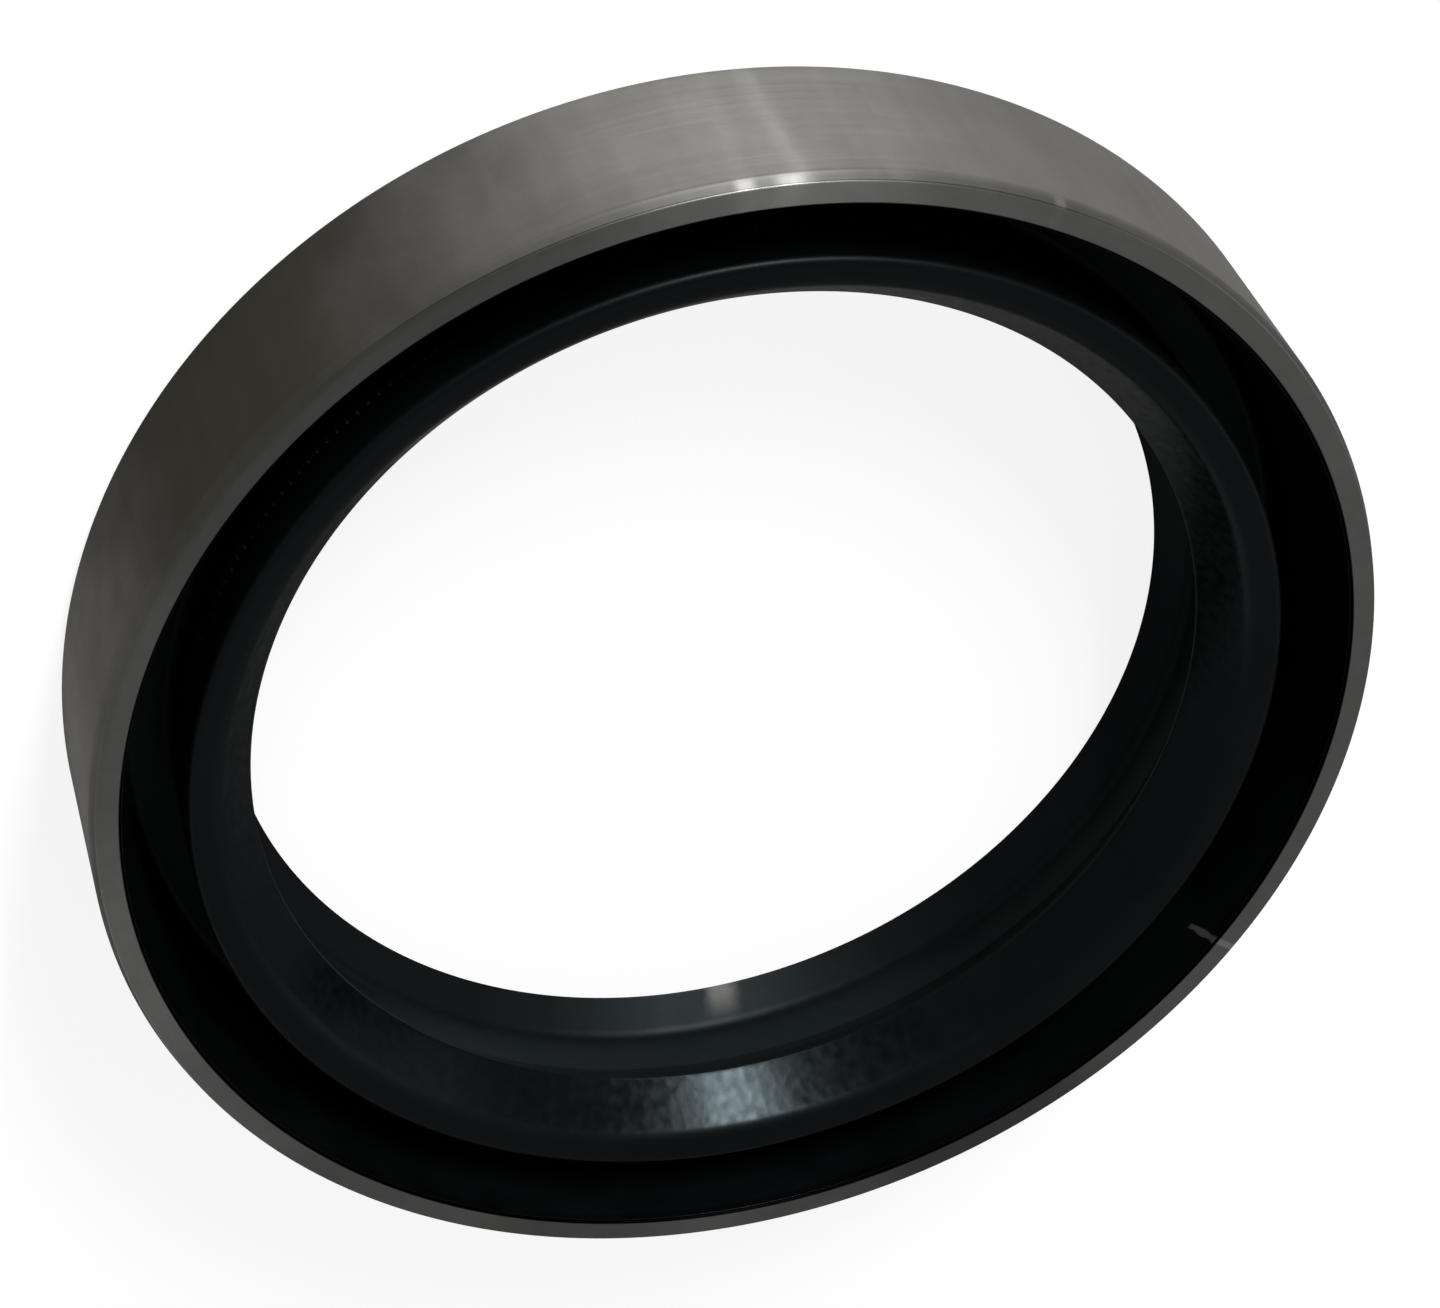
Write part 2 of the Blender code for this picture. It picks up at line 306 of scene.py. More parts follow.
class Nodes:
    """Adds and links the nodes of one tree."""

    def __init__(self, tree):
        self.tree = tree
        tree.nodes.clear()

    def add(self, kind, **settings):
        node = self.tree.nodes.new(kind)
        for name, value in settings.items():
            setattr(node, name, value)
        return node

    def join(self, source, target):
        self.tree.links.new(source, target)

    def feed(self, socket, value):
        """Links an output, or sets a plain value."""
        if isinstance(value, bpy.types.NodeSocket):
            self.join(value, socket)
        else:
            socket.default_value = value

    def maths(self, operation, *values):
        node = self.add("ShaderNodeMath", operation=operation)
        for socket, value in zip(node.inputs, values):
            self.feed(socket, value)
        return node.outputs[0]

    def plus(self, total, *others):
        """The sum of several values."""
        for other in others:
            total = self.maths("ADD", total, other)
        return total

    def times(self, product, *others):
        """The product of several values."""
        for other in others:
            product = self.maths("MULTIPLY", product, other)
        return product

    def rest(self, value):
        """What a value leaves of 1."""
        return self.maths("SUBTRACT", 1.0, value)

    def fade(self, value, start, end):
        """1 up to start, falling smoothly to 0 at end. It rises instead where end is below start."""
        node = self.add("ShaderNodeMapRange", interpolation_type="SMOOTHSTEP")
        self.feed(node.inputs["Value"], value)
        node.inputs["From Min"].default_value = start
        node.inputs["From Max"].default_value = end
        node.inputs["To Min"].default_value = 1.0
        node.inputs["To Max"].default_value = 0.0
        return node.outputs["Result"]

    def spread(self, value, low, high):
        """Turns 0 to 1 into low to high."""
        node = self.add("ShaderNodeMapRange", clamp=False)
        self.feed(node.inputs["Value"], value)
        node.inputs["To Min"].default_value = low
        node.inputs["To Max"].default_value = high
        return node.outputs["Result"]

    def noise(self, coordinates, scale, detail=2.0, roughness=0.5):
        """Noise with its own scale on each axis, in cycles per metre."""
        mapping = self.add("ShaderNodeMapping")
        self.join(coordinates, mapping.inputs["Vector"])
        mapping.inputs["Scale"].default_value = scale
        node = self.add("ShaderNodeTexNoise")
        self.join(mapping.outputs["Vector"], node.inputs["Vector"])
        node.inputs["Scale"].default_value = 1.0
        node.inputs["Detail"].default_value = detail
        node.inputs["Roughness"].default_value = roughness
        return node.outputs["Fac"]

    def mixed(self, amount, first, second):
        """One colour turning into another."""
        node = self.add("ShaderNodeMix", data_type="RGBA")
        self.feed(node.inputs["Factor"], amount)
        sockets = [socket for socket in node.inputs if socket.type == "RGBA"]
        for socket, value in zip(sockets, (first, second)):
            self.feed(socket, value if isinstance(value, bpy.types.NodeSocket) else (*value, 1.0))
        return next(socket for socket in node.outputs if socket.type == "RGBA")

    def scaled(self, tint, amount):
        """A colour times a number."""
        node = self.add("ShaderNodeVectorMath", operation="SCALE")
        self.feed(node.inputs[0], tint)
        self.feed(node.inputs["Scale"], amount)
        return node.outputs["Vector"]

    def bump(self, height, distance, normal=None):
        """A surface raised by up to distance where the height is 1."""
        node = self.add("ShaderNodeBump")
        node.inputs["Strength"].default_value = 1.0
        node.inputs["Distance"].default_value = distance
        self.join(height, node.inputs["Height"])
        if normal is not None:
            self.join(normal, node.inputs["Normal"])
        return node.outputs["Normal"]


def new_material(name):
    """An empty material, with its node helper, its shader and its object coordinates."""
    made = bpy.data.materials.new(name)
    made.use_nodes = True
    nodes = Nodes(made.node_tree)
    output = nodes.add("ShaderNodeOutputMaterial")
    shader = nodes.add("ShaderNodeBsdfPrincipled")
    nodes.join(shader.outputs["BSDF"], output.inputs["Surface"])
    coordinates = nodes.add("ShaderNodeTexCoord").outputs["Object"]
    return made, nodes, shader, coordinates


def round_the_axis(nodes, coordinates):
    """Azimuth in degrees, height in millimetres and radius in millimetres of each point."""
    apart = nodes.add("ShaderNodeSeparateXYZ")
    nodes.join(coordinates, apart.inputs[0])
    x, y, z = apart.outputs
    angle = nodes.maths("ARCTAN2", x, nodes.times(y, -1.0))
    azimuth = nodes.maths("DEGREES", angle)
    height = nodes.maths("DIVIDE", z, MM)
    squares = nodes.plus(nodes.times(x, x), nodes.times(y, y))
    radius = nodes.maths("DIVIDE", nodes.maths("SQRT", squares), MM)
    return azimuth, height, radius


def off_azimuth(nodes, azimuth, centre):
    """Degrees between a point and an azimuth, either way."""
    turned_back = nodes.maths("SUBTRACT", azimuth, centre)
    return nodes.maths("ABSOLUTE", nodes.maths("WRAP", turned_back, 180.0, -180.0))


def near(nodes, azimuth, centre, half, faded):
    """1 within half a width of an azimuth, falling smoothly to 0 where it has faded."""
    return nodes.fade(off_azimuth(nodes, azimuth, centre), half, faded)


def straightened(nodes, azimuth, height, lean):
    """The azimuth at height 0 of a line that leans by so many degrees per millimetre."""
    return nodes.maths("SUBTRACT", azimuth, nodes.times(height, lean))


def scratched(nodes, azimuth, height, radius, wander):
    """1 along the scratch across the rim and down the rubber, with ragged sides."""
    centre, width, lean, inner, lower = SCRATCH
    line = straightened(nodes, azimuth, height, lean)
    off_line = off_azimuth(nodes, line, centre - lean * CASE_BOX[1].z / MM)
    ragged = nodes.plus(off_line, nodes.spread(wander, -0.5 * width, 0.5 * width))
    outside = nodes.fade(radius, inner + SCRATCH_FADE, inner)
    above = nodes.fade(height, lower + SCRATCH_FADE, lower)
    return nodes.times(nodes.fade(ragged, 0.5 * width, width), nodes.times(outside, above))


def satin_steel(finish, sizes):
    """Satin steel with axial streaks and a darker cut edge.

    A brownish area on the band is partly stain and partly painted shade. Rubbed spots on the rim's outer corner
    are painted bright as glints, the steel beside the rim and on that corner carries painted shade, and the cut
    edge carries painted shade and painted highlights along it.
    """
    made, nodes, shader, coordinates = new_material("satin_steel")
    azimuth, height, radius = round_the_axis(nodes, coordinates)
    brushing = nodes.noise(coordinates, (900.0, 900.0, 35.0), 3.0, 0.6)
    turning = nodes.noise(coordinates, (45.0, 45.0, 5200.0), 2.0, 0.5)
    mottle = nodes.noise(coordinates, (170.0, 170.0, 110.0), 4.0, 0.6)
    grain = nodes.noise(coordinates, (7000.0, 7000.0, 7000.0), 2.0, 0.6)

    band, rim = sizes.outer_radius / MM, sizes.width / MM
    bore = (sizes.outer_radius - sizes.sheet) / MM
    # A brownish area on the band, partly stain and partly painted shade
    centre, half, faded = STAIN_AND_SHADE_AREA
    uneven = nodes.plus(nodes.spread(mottle, -half, half), off_azimuth(nodes, azimuth, centre))
    stain_and_shade = nodes.fade(uneven, half, faded)
    on_band = nodes.fade(radius, band - 0.3, band - 0.8)
    tint = nodes.mixed(nodes.times(stain_and_shade, on_band), finish.steel, finish.stain_and_shade)

    bright = None
    for centre, width, lean, strength in STREAKS:
        streak_and_glint = near(nodes, straightened(nodes, azimuth, height, lean), centre, 0.0, width)
        streak_and_glint = nodes.times(streak_and_glint, nodes.spread(brushing, strength * 0.4, strength * 1.6))
        bright = streak_and_glint if bright is None else nodes.plus(bright, streak_and_glint)
    bright = nodes.times(bright, on_band)
    near_rim = nodes.fade(height, rim - 0.3, rim - 1.1)
    # Rubbed spots on the rim's outer corner, painted bright as glints
    for centre, width, strength in RUBBED_RIM_GLINTS:
        rubbed_glint = nodes.times(near(nodes, azimuth, centre, 0.2, width), near_rim, strength)
        bright = nodes.plus(bright, rubbed_glint)
    bright = nodes.maths("MINIMUM", bright, 1.0)
    tint = nodes.mixed(bright, tint, finish.streak_and_glint)

    on_cut = nodes.fade(height, rim - 0.002, rim - 0.05)
    tint = nodes.mixed(nodes.times(on_cut, CUT_COVER), tint, finish.cut_edge)
    scratch = nodes.times(scratched(nodes, azimuth, height, radius, grain), on_cut, SCRATCH_COVER)
    tint = nodes.mixed(scratch, tint, finish.streak_and_glint)
    smeared = nodes.times(nodes.fade(radius, bore + 0.10, bore + 0.18), near_rim)
    tint = nodes.mixed(smeared, tint, finish.rubber_bloom)

    lightness = nodes.plus(
        nodes.spread(mottle, 0.86, 1.14), nodes.spread(brushing, -0.1, 0.1), nodes.spread(grain, -0.05, 0.05)
    )
    # Painted shade and painted highlights along the cut edge
    for centre, half, faded, left in CUT_SHADE_AND_HIGHLIGHTS:
        painted_cut_light = nodes.times(near(nodes, azimuth, centre, half, faded), on_cut)
        lightness = nodes.times(lightness, nodes.spread(painted_cut_light, 1.0, left))
    off_cut = nodes.rest(on_cut)
    # Painted shade beside the rim, except on the cut face, the streaks, the glints and the brownish area
    rim_shade = nodes.times(near_rim, nodes.times(off_cut, nodes.rest(bright)), nodes.rest(stain_and_shade))
    lightness = nodes.times(lightness, nodes.spread(rim_shade, 1.0, RIM_DUSK))
    # Painted shade on the rim's outer corner
    corner = nodes.fade(height, rim - 0.06, rim - 0.14)
    corner = nodes.times(corner, near(nodes, azimuth, *SHADED_RIM_CORNER), off_cut)
    lightness = nodes.times(lightness, nodes.spread(corner, 1.0, CORNER_DUSK))
    nodes.join(nodes.scaled(tint, lightness), shader.inputs["Base Color"])

    rough = nodes.plus(
        nodes.spread(turning, -0.05, 0.05), nodes.spread(mottle, -0.04, 0.04), finish.steel_roughness
    )
    nodes.join(rough, shader.inputs["Roughness"])
    surface = nodes.bump(grain, GRAIN_DEPTH, nodes.bump(turning, TURNING_DEPTH))
    nodes.join(surface, shader.inputs["Normal"])
    tangent = nodes.add("ShaderNodeTangent", direction_type="RADIAL", axis="Z")
    nodes.join(tangent.outputs["Tangent"], shader.inputs["Tangent"])
    shader.inputs["Metallic"].default_value = 1.0
    shader.inputs["Anisotropic"].default_value = finish.steel_grain
    # A quarter turn lays the grain round the band
    shader.inputs["Anisotropic Rotation"].default_value = 0.25
    shader.inputs["Specular Tint"].default_value = (0.5, 0.5, 0.5, 1.0)
    return made


def black_rubber(finish, sizes):
    """Moulded black rubber with a soft sheen, and a smoother, slightly uneven trimmed cone on the oil side."""
    made, nodes, shader, coordinates = new_material("black_rubber")
    azimuth, height, radius = round_the_axis(nodes, coordinates)
    uneven = nodes.noise(coordinates, (420.0, 420.0, 420.0), 3.0, 0.55)
    ripple = nodes.noise(coordinates, (1700.0, 1700.0, 1700.0), 0.5, 0.5)
    pores = nodes.noise(coordinates, (9000.0, 9000.0, 9000.0), 2.0, 0.6)
    rings = nodes.noise(coordinates, (30.0, 30.0, 2600.0), 2.0, 0.5)
    cloud = nodes.noise(coordinates, (120.0, 120.0, 160.0), 3.0, 0.6)

    film = nodes.times(nodes.fade(cloud, 0.62, 0.38), BLOOM_COVER)
    tint = nodes.mixed(film, finish.rubber_bloom, finish.rubber)
    scuff = nodes.times(scratched(nodes, azimuth, height, radius, ripple), DUST_COVER)
    tint = nodes.mixed(scuff, tint, finish.dust)
    # A painted highlight on the dust lip
    centre, half = DUST_LIP_HIGHLIGHT
    wander = nodes.spread(uneven, -0.5 * half, 0.5 * half)
    from_lip_highlight = nodes.plus(off_azimuth(nodes, azimuth, centre), wander)
    lip_highlight = nodes.times(nodes.fade(from_lip_highlight, 0.2 * half, half), nodes.fade(height, 0.4, 1.9))
    tint = nodes.mixed(lip_highlight, tint, finish.lip_highlight)
    # Painted sheen on the throat
    throat = nodes.times(
        nodes.fade(height, 3.0, 2.0),
        nodes.fade(height, 5.8, 7.4),
        nodes.fade(radius, 29.1, 29.5),
        near(nodes, azimuth, *THROAT_SHEEN),
    )
    tint = nodes.mixed(throat, tint, finish.throat_sheen)
    nodes.join(nodes.scaled(tint, nodes.spread(pores, 0.85, 1.15)), shader.inputs["Base Color"])

    edge, crest = sizes.contact_height / MM, sizes.crest_height / MM
    head, wall = sizes.head_radius / MM, sizes.lining_inside / MM
    cone = nodes.times(
        nodes.fade(height, edge + 0.25, edge - 0.1),
        nodes.fade(height, crest - 0.6, crest),
        nodes.fade(radius, head - 1.6, head - 1.0),
    )
    dull = nodes.times(near(nodes, azimuth, *DULL_CONE), cone)
    lining = nodes.fade(radius, wall - 0.2, wall - 0.8)
    rough = nodes.plus(
        nodes.spread(cone, finish.rubber_roughness, finish.lip_roughness),
        nodes.spread(uneven, -0.06, 0.06),
        nodes.times(nodes.spread(ripple, -0.1, 0.1), cone),
        nodes.spread(dull, 0.0, 0.4),
        nodes.spread(lining, 0.0, -0.14),
    )
    nodes.join(rough, shader.inputs["Roughness"])
    coarse = nodes.spread(cone, 0.3, 1.0)
    surface = nodes.bump(rings, RINGS_DEPTH)
    surface = nodes.bump(nodes.times(uneven, coarse), UNEVEN_DEPTH, surface)
    surface = nodes.bump(nodes.times(ripple, coarse), RIPPLE_DEPTH, surface)
    surface = nodes.bump(pores, PORES_DEPTH, surface)
    nodes.join(surface, shader.inputs["Normal"])
    shader.inputs["Specular IOR Level"].default_value = finish.rubber_shine
    shader.inputs["Specular Tint"].default_value = (*finish.rubber_glint, 1.0)
    return made


def spring_wire(finish):
    """Drawn wire with fine lines along it and a thin film of oil."""
    made, nodes, shader, coordinates = new_material("spring_wire")
    film = nodes.noise(coordinates, (260.0, 260.0, 260.0), 3.0, 0.6)
    lines = nodes.noise(coordinates, (5200.0, 5200.0, 5200.0), 2.0, 0.5)
    oiled = [0.6 * part for part in finish.wire]
    tint = nodes.mixed(nodes.fade(film, 0.6, 0.4), oiled, finish.wire)
    nodes.join(nodes.scaled(tint, nodes.spread(lines, 0.85, 1.15)), shader.inputs["Base Color"])
    nodes.join(nodes.spread(film, 0.2, 0.4), shader.inputs["Roughness"])
    nodes.join(nodes.bump(lines, LINES_DEPTH), shader.inputs["Normal"])
    shader.inputs["Metallic"].default_value = 1.0
    return made


def arc(centre, radius, first, last):
    """Points along an arc in the section plane, from one angle in degrees to another, ends included."""
    steps = max(2, round(abs(math.radians(last - first)) * radius / ARC_STEP))
    points = []
    for step in range(steps + 1):
        angle = math.radians(first + (last - first) * step / steps)
        points.append((centre[0] + radius * math.cos(angle), centre[1] + radius * math.sin(angle), 0.0))
    return points


def eased(corners):
    """The points of a closed section that is given by its corners (radius, height, rounding).

    A corner becomes an arc with a support on each side. A rounding of 0 keeps it as a plain point of a curve.
    """
    points = []
    count = len(corners)
    for index, (radius, height, rounding) in enumerate(corners):
        corner = Vector((radius, height))
        if rounding == 0.0:
            points.append(corner)
            continue
        to_back = Vector(corners[index - 1][:2]) - corner
        to_next = Vector(corners[(index + 1) % count][:2]) - corner
        back, ahead = to_back.normalized(), to_next.normalized()
        half_angle = back.angle(ahead) / 2
        reach = rounding / math.tan(half_angle)
        centre = corner + (back + ahead).normalized() * rounding / math.sin(half_angle)
        first = corner + back * reach - centre
        last = corner + ahead * reach - centre
        sweep = first.angle(last)
        steps = max(3, round(sweep * rounding / ARC_STEP))
        if to_back.length > 2 * (reach + SUPPORT):
            points.append(corner + back * (reach + SUPPORT))
        for step in range(steps + 1):
            along = sweep * step / steps
            spoke = (first * math.sin(sweep - along) + last * math.sin(along)) / math.sin(sweep)
            points.append(centre + spoke)
        if to_next.length > 2 * (reach + SUPPORT):
            points.append(corner + ahead * (reach + SUPPORT))
    return points


def turned(name, section, finish):
    """Turns a closed section round the Z axis. The section runs down its outer side and up its inner one."""
    profile = bpy.data.meshes.new(name + "_section")
    corners = [(point.x, 0.0, point.y) for point in eased(section)]
    edges = [(index, (index + 1) % len(corners)) for index in range(len(corners))]
    profile.from_pydata(corners, edges, [])
    lathe = bpy.data.objects.new(name + "_section", profile)
    bpy.context.scene.collection.objects.link(lathe)
    screw = lathe.modifiers.new("turn", "SCREW")
    screw.axis = "Z"
    screw.angle = math.tau
    screw.steps = TURN_STEPS
    screw.render_steps = TURN_STEPS
    screw.use_merge_vertices = True
    screw.merge_threshold = MERGE_DISTANCE
    return plain_mesh(name, lathe, finish)


def plain_mesh(name, maker, finish):
    """Turns what an object's modifiers make into a plain mesh object of its own, and removes the maker."""
    depsgraph = bpy.context.evaluated_depsgraph_get()
    mesh = bpy.data.meshes.new_from_object(maker.evaluated_get(depsgraph))
    bpy.data.objects.remove(maker)
    mesh.name = name
    mesh.shade_smooth()
    mesh.set_sharp_from_angle(angle=SHARP_ANGLE)
    mesh.materials.clear()
    mesh.materials.append(finish)
    piece = bpy.data.objects.new(name, mesh)
    bpy.context.scene.collection.objects.link(piece)
    return piece


def place(piece, node):
    """Lets a piece stand for its CAD node and ride on the seal."""
    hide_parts(node)
    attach(piece, "root")


def case_section(sizes):
    """An L-shaped section: the wall with its lead-in, the bend at the closed end, and the flange."""
    bore = sizes.outer_radius - sizes.sheet
    return [
        (sizes.outer_radius - sizes.lead_in_depth, sizes.width, sizes.edge_break),
        (sizes.outer_radius, sizes.width - sizes.lead_in_length, 0.3 * MM),
        (sizes.outer_radius, 0.0, sizes.outer_bend),
        (sizes.flange_radius, 0.0, 0.1 * MM),
        (sizes.flange_radius, sizes.sheet, 0.1 * MM),
        (bore, sizes.sheet, sizes.inner_bend),
        (bore, sizes.width, sizes.edge_break),
    ]


def dust_lip(sizes, nose_radius):
    """A tongue that slants down and inwards to the shaft, with a V-shaped relief between it and the nose."""
    slant = math.atan2(nose_radius - sizes.dust_radius, sizes.dust_height)
    out, down = math.cos(slant), math.sin(slant)
    root_height = sizes.dust_tip_height + sizes.dust_height
    relief = (nose_radius + sizes.dust_root * out, root_height - sizes.dust_root * down)
    tip_outside = (sizes.dust_radius + sizes.dust_tip * out, sizes.dust_tip_height - sizes.dust_tip * down)
    return [
        (*relief, 0.2 * MM),
        (*tip_outside, 0.06 * MM),
        (sizes.dust_radius, sizes.dust_tip_height, 0.06 * MM),
        (nose_radius, root_height, 1.3 * MM),
    ]


def lip_section(sizes, case, coil):
    """The moulding's whole section: bonded side, dust lip, face towards the shaft, head, groove and channel."""
    outside = case.outer_radius - case.sheet + BOND_OVERLAP
    edge = case.flange_radius + BOND_OVERLAP
    above_flange = case.sheet - BOND_OVERLAP
    throat_radius = sizes.contact_radius + sizes.throat_depth
    throat_height = sizes.contact_height - sizes.throat_depth / math.tan(sizes.air_side_angle)
    nose_radius = throat_radius + sizes.web_flare
    cone_rise = sizes.crest_height - sizes.contact_height
    crest_radius = sizes.contact_radius + cone_rise * math.tan(sizes.oil_side_angle)
    flat = sizes.contact_flat / 2
    cone_start = Vector((sizes.contact_radius, sizes.contact_height + flat))
    cone = Vector((crest_radius, sizes.crest_height)) - cone_start
    bulge = Vector((-cone.y, cone.x)).normalized() * 4.0 * sizes.cone_crown
    crowned = [
        (*(cone_start + cone * share_of + bulge * share_of * (1.0 - share_of)), 0.0)
        for share_of in (0.1, 0.2, 0.3, 0.4, 0.5, 0.6, 0.7, 0.8)
    ]
    seat = (coil.ring_radius, coil.ring_height)
    groove = arc(seat, coil.coil_radius + BOND_OVERLAP, *GROOVE_ARC)
    shoulder = coil.ring_radius + SHOULDER_OUT
    shoulder_top = coil.ring_height - SHOULDER_DROP
    flash_inside = case.outer_radius - case.sheet - sizes.flash_depth
    return [
        (outside, sizes.flash_top, 0.02 * MM),
        (outside, above_flange, case.inner_bend),
        (edge, above_flange, LEAST_ROUNDING),
        (edge, 0.0, LEAST_ROUNDING),
        (case.flange_radius - 0.3 * MM - sizes.nose_land, 0.0, 0.1 * MM),
        *dust_lip(sizes, nose_radius),
        (throat_radius, throat_height, 0.6 * MM),
        (sizes.contact_radius, sizes.contact_height - flat, LEAST_ROUNDING),
        (*cone_start, LEAST_ROUNDING),
        *crowned,
        (crest_radius, sizes.crest_height, sizes.crest_rounding),
        (sizes.head_radius, sizes.head_height, 0.4 * MM),
        (sizes.head_radius, coil.ring_height + RETAINER_RISE, 0.08 * MM),
        *groove,
        (shoulder, shoulder_top, 0.08 * MM),
        (shoulder, shoulder_top - SHOULDER_SIDE, 0.15 * MM),
        (throat_radius + sizes.web_thickness, shoulder_top - WEB_DROP, 0.3 * MM),
        (nose_radius + sizes.web_thickness, sizes.floor_height, 0.8 * MM),
        (sizes.lining_inside, sizes.floor_height, 0.8 * MM),
        (sizes.lining_inside, sizes.lining_top - sizes.lining_taper, 0.5 * MM),
        (flash_inside, sizes.lining_top, 0.1 * MM),
        (flash_inside, sizes.flash_top, 0.02 * MM),
    ]


def coil_tree():
    """Geometry nodes that wind a wire round a ring."""
    tree = bpy.data.node_groups.new("garter_coil", "GeometryNodeTree")
    nodes = Nodes(tree)
    sockets = (
        ("Ring Radius", "NodeSocketFloat"),
        ("Ring Height", "NodeSocketFloat"),
        ("Winding Radius", "NodeSocketFloat"),
        ("Wire Radius", "NodeSocketFloat"),
        ("Turns", "NodeSocketInt"),
        ("Points per Turn", "NodeSocketInt"),
        ("Wire Sides", "NodeSocketInt"),
        ("Material", "NodeSocketMaterial"),
    )
    for name, kind in sockets:
        tree.interface.new_socket(name=name, in_out="INPUT", socket_type=kind)
    tree.interface.new_socket(name="Geometry", in_out="OUTPUT", socket_type="NodeSocketGeometry")
    given = nodes.add("NodeGroupInput").outputs
    result = nodes.add("NodeGroupOutput")
    count = nodes.times(given["Turns"], given["Points per Turn"])
    path = nodes.add("GeometryNodeCurvePrimitiveCircle")
    nodes.join(count, path.inputs["Resolution"])
    index = nodes.add("GeometryNodeInputIndex").outputs[0]
    round_ring = nodes.times(nodes.maths("DIVIDE", index, count), math.tau)
    round_wire = nodes.times(round_ring, given["Turns"])
    out = nodes.times(nodes.maths("COSINE", round_wire), given["Winding Radius"])
    out = nodes.plus(out, given["Ring Radius"])
    up = nodes.times(nodes.maths("SINE", round_wire), given["Winding Radius"])
    up = nodes.plus(up, given["Ring Height"])
    point = nodes.add("ShaderNodeCombineXYZ")
    nodes.join(nodes.times(nodes.maths("COSINE", round_ring), out), point.inputs["X"])
    nodes.join(nodes.times(nodes.maths("SINE", round_ring), out), point.inputs["Y"])
    nodes.join(up, point.inputs["Z"])
    wind = nodes.add("GeometryNodeSetPosition")
    nodes.join(path.outputs["Curve"], wind.inputs["Geometry"])
    nodes.join(point.outputs["Vector"], wind.inputs["Position"])
    wire = nodes.add("GeometryNodeCurvePrimitiveCircle")
    nodes.join(given["Wire Sides"], wire.inputs["Resolution"])
    nodes.join(given["Wire Radius"], wire.inputs["Radius"])
    drawn = nodes.add("GeometryNodeCurveToMesh")
    nodes.join(wind.outputs["Geometry"], drawn.inputs["Curve"])
    nodes.join(wire.outputs["Curve"], drawn.inputs["Profile Curve"])
    real = nodes.add("GeometryNodeRealizeInstances")
    nodes.join(drawn.outputs["Mesh"], real.inputs["Geometry"])
    painted = nodes.add("GeometryNodeSetMaterial")
    nodes.join(real.outputs["Geometry"], painted.inputs["Geometry"])
    nodes.join(given["Material"], painted.inputs["Material"])
    nodes.join(painted.outputs["Geometry"], result.inputs["Geometry"])
    return tree


def set_inputs(modifier, values):
    """Sets a geometry nodes modifier's inputs by their names."""
    for item in modifier.node_group.interface.items_tree:
        if item.item_type == "SOCKET" and item.in_out == "INPUT":
            modifier[item.identifier] = values[item.name]


class OILSEAL_OT_steel_case(bpy.types.Operator):
    """Build the pressed steel case in place of its CAD node"""

    bl_idname = "oil_seal.steel_case"
    bl_label = "Steel Case"

    def execute(self, context):
        sizes = context.scene.oil_seal_case
        finish = satin_steel(context.scene.oil_seal_finishes, sizes)
        piece = turned("pressed_steel_case", case_section(sizes), finish)
        place(piece, "steel_case")
        return {"FINISHED"}


class OILSEAL_OT_rubber_lip(bpy.types.Operator):
    """Build the moulded rubber with its sealing lip and dust lip in place of its CAD node"""

    bl_idname = "oil_seal.rubber_lip"
    bl_label = "Rubber Lip"

    def execute(self, context):
        scene = context.scene
        sizes = scene.oil_seal_lip
        finish = black_rubber(scene.oil_seal_finishes, sizes)
        section = lip_section(sizes, scene.oil_seal_case, scene.oil_seal_coil)
        piece = turned("moulded_rubber_lip", section, finish)
        place(piece, "rubber_lip")
        return {"FINISHED"}


class OILSEAL_OT_garter_spring(bpy.types.Operator):
    """Wind the garter spring in place of its CAD node"""

    bl_idname = "oil_seal.garter_spring"
    bl_label = "Garter Spring"

    def execute(self, context):
        sizes = context.scene.oil_seal_coil
        finish = spring_wire(context.scene.oil_seal_finishes)
        maker = bpy.data.objects.new("coil_maker", bpy.data.meshes.new("coil_maker"))
        context.scene.collection.objects.link(maker)
        wound = maker.modifiers.new("wind", "NODES")
        wound.node_group = coil_tree()
        values = {
            "Ring Radius": sizes.ring_radius,
            "Ring Height": sizes.ring_height,
            "Winding Radius": sizes.coil_radius - sizes.wire_radius,
            "Wire Radius": sizes.wire_radius,
            "Turns": sizes.turns,
            "Points per Turn": sizes.turn_points,
            "Wire Sides": sizes.wire_sides,
            "Material": finish,
        }
        set_inputs(wound, values)
        piece = plain_mesh("garter_coil", maker, finish)
        if not piece.data.polygons:
            raise RuntimeError("the garter coil has no faces")
        place(piece, "garter_spring")
        return {"FINISHED"}


def towards(azimuth, elevation):
    """The unit vector to a side and height given in degrees."""
    side, lift = math.radians(azimuth), math.radians(elevation)
    return Vector((math.sin(side) * math.cos(lift), -math.cos(side) * math.cos(lift), math.sin(lift)))


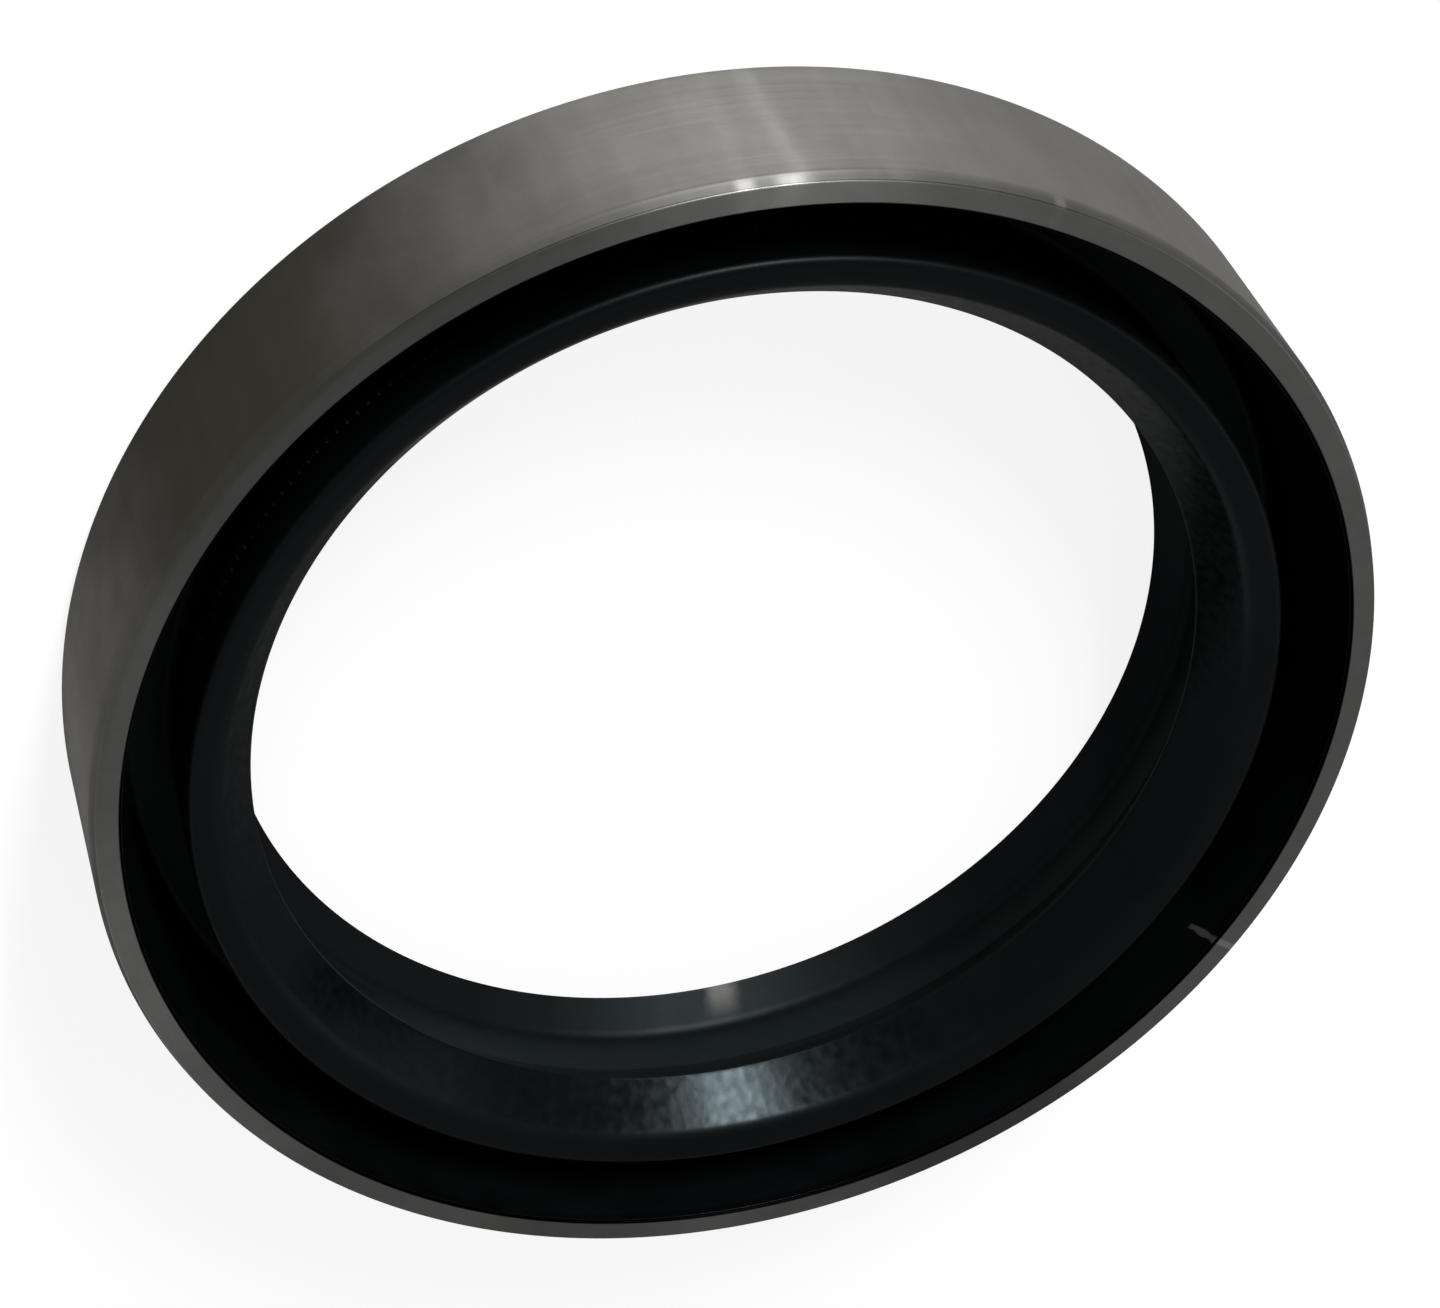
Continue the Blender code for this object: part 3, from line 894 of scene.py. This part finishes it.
def add_floor(settings):
    """A pale round floor that keeps the seal's shadow. It is clear from below, and to the closed face."""
    mesh = bpy.data.meshes.new("floor")
    rim = []
    for step in range(FLOOR_SIDES):
        turn = step * math.tau / FLOOR_SIDES
        rim.append((settings.floor_radius * math.cos(turn), settings.floor_radius * math.sin(turn), -FLOOR_DROP))
    mesh.from_pydata(rim, [], [list(range(FLOOR_SIDES))])
    floor = bpy.data.objects.new("floor", mesh)
    bpy.context.scene.collection.objects.link(floor)
    made = bpy.data.materials.new("pale_floor")
    made.use_nodes = True
    nodes = Nodes(made.node_tree)
    path = nodes.add("ShaderNodeLightPath")
    mirrored = nodes.maths("MAXIMUM", path.outputs["Is Glossy Ray"], path.outputs["Is Transmission Ray"])
    lit = nodes.add("ShaderNodeBsdfDiffuse")
    tint = nodes.mixed(mirrored, settings.floor_colour, settings.floor_mirrored)
    nodes.join(tint, lit.inputs["Color"])
    glow = nodes.add("ShaderNodeEmission")
    strength = nodes.times(path.outputs["Is Camera Ray"], settings.floor_glow)
    nodes.join(strength, glow.inputs["Strength"])
    both = nodes.add("ShaderNodeAddShader")
    nodes.join(lit.outputs[0], both.inputs[0])
    nodes.join(glow.outputs[0], both.inputs[1])
    clear = nodes.add("ShaderNodeBsdfTransparent")
    from_below = nodes.add("ShaderNodeNewGeometry").outputs["Backfacing"]
    from_closed_face = nodes.maths("LESS_THAN", path.outputs["Ray Length"], CLOSED_FACE_REACH)
    side = nodes.add("ShaderNodeMixShader")
    nodes.join(nodes.maths("MAXIMUM", from_below, from_closed_face), side.inputs[0])
    nodes.join(both.outputs[0], side.inputs[1])
    nodes.join(clear.outputs[0], side.inputs[2])
    nodes.join(side.outputs[0], nodes.add("ShaderNodeOutputMaterial").inputs["Surface"])
    mesh.materials.append(made)


def add_room(scene, settings):
    """An even grey room that is paler at floor level."""
    room = bpy.data.worlds.new("room")
    room.use_nodes = True
    nodes = Nodes(room.node_tree)
    apart = nodes.add("ShaderNodeSeparateXYZ")
    nodes.join(nodes.add("ShaderNodeTexCoord").outputs["Generated"], apart.inputs[0])
    low = nodes.fade(apart.outputs["Z"], 0.02, 0.3)
    strength = nodes.spread(low, settings.sky, settings.horizon)
    back = nodes.add("ShaderNodeBackground")
    nodes.join(strength, back.inputs["Strength"])
    nodes.join(back.outputs[0], nodes.add("ShaderNodeOutputWorld").inputs["Surface"])
    scene.world = room


def add_lamps(scene):
    """Soft rectangular lamps that face the seal, each given by its radiance."""
    for name, azimuth, elevation, distance, width, height, radiance in LAMPS:
        lamp = bpy.data.lights.new(name, "AREA")
        lamp.shape = "RECTANGLE"
        lamp.size = width
        lamp.size_y = height
        lamp.energy = radiance * math.pi * width * height
        holder = bpy.data.objects.new(name, lamp)
        direction = towards(azimuth, elevation)
        holder.location = direction * distance
        holder.rotation_euler = direction.to_track_quat("Z", "Y").to_euler()
        scene.collection.objects.link(holder)


def add_camera(scene, settings):
    """The camera at the photograph's viewing angle."""
    lens = bpy.data.cameras.new("camera")
    lens.lens = settings.lens
    lens.clip_start = 0.01
    holder = bpy.data.objects.new("camera", lens)
    tilted = Matrix.Rotation(settings.camera_tilt, 4, "X")
    rolled = Matrix.Rotation(settings.camera_roll, 4, "Z")
    holder.matrix_world = Matrix.Translation(settings.camera_place) @ tilted @ rolled
    scene.collection.objects.link(holder)
    scene.camera = holder


class OILSEAL_OT_stage(bpy.types.Operator):
    """Set up the floor, room, lamps and camera"""

    bl_idname = "oil_seal.stage"
    bl_label = "Stage"

    def execute(self, context):
        scene = context.scene
        settings = scene.oil_seal_stage
        add_floor(settings)
        add_room(scene, settings)
        add_lamps(scene)
        add_camera(scene, settings)
        scene.view_settings.view_transform = "Standard"
        return {"FINISHED"}


class OILSEAL_PT_sidebar(bpy.types.Panel):
    """The seal's sizes, finishes and operators"""

    bl_label = "Oil Seal"
    bl_space_type = "VIEW_3D"
    bl_region_type = "UI"
    bl_category = "Oil Seal"

    def draw(self, context):
        scene = context.scene
        for title, settings, operator in (
            ("Steel case", scene.oil_seal_case, OILSEAL_OT_steel_case),
            ("Rubber lip", scene.oil_seal_lip, OILSEAL_OT_rubber_lip),
            ("Garter spring", scene.oil_seal_coil, OILSEAL_OT_garter_spring),
            ("Finishes", scene.oil_seal_finishes, None),
            ("Stage", scene.oil_seal_stage, OILSEAL_OT_stage),
        ):
            box = self.layout.box()
            box.label(text=title)
            for name in settings.__annotations__:
                box.prop(settings, name)
            if operator:
                box.operator(operator.bl_idname)


SETTINGS = {
    "oil_seal_case": CaseSizes,
    "oil_seal_lip": LipSizes,
    "oil_seal_coil": CoilSizes,
    "oil_seal_finishes": Finishes,
    "oil_seal_stage": StageSettings,
}
CLASSES = (
    *SETTINGS.values(),
    OILSEAL_OT_steel_case,
    OILSEAL_OT_rubber_lip,
    OILSEAL_OT_garter_spring,
    OILSEAL_OT_stage,
    OILSEAL_PT_sidebar,
)


def register():
    for made in CLASSES:
        bpy.utils.register_class(made)
    for name, made in SETTINGS.items():
        setattr(bpy.types.Scene, name, PointerProperty(type=made))


def unregister():
    for name in SETTINGS:
        delattr(bpy.types.Scene, name)
    for made in reversed(CLASSES):
        bpy.utils.unregister_class(made)


def main():
    """Builds the pieces and the stage."""
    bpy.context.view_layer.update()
    register()
    bpy.ops.oil_seal.steel_case()
    bpy.ops.oil_seal.rubber_lip()
    bpy.ops.oil_seal.garter_spring()
    bpy.ops.oil_seal.stage()


if __name__ == "__main__":
    main()
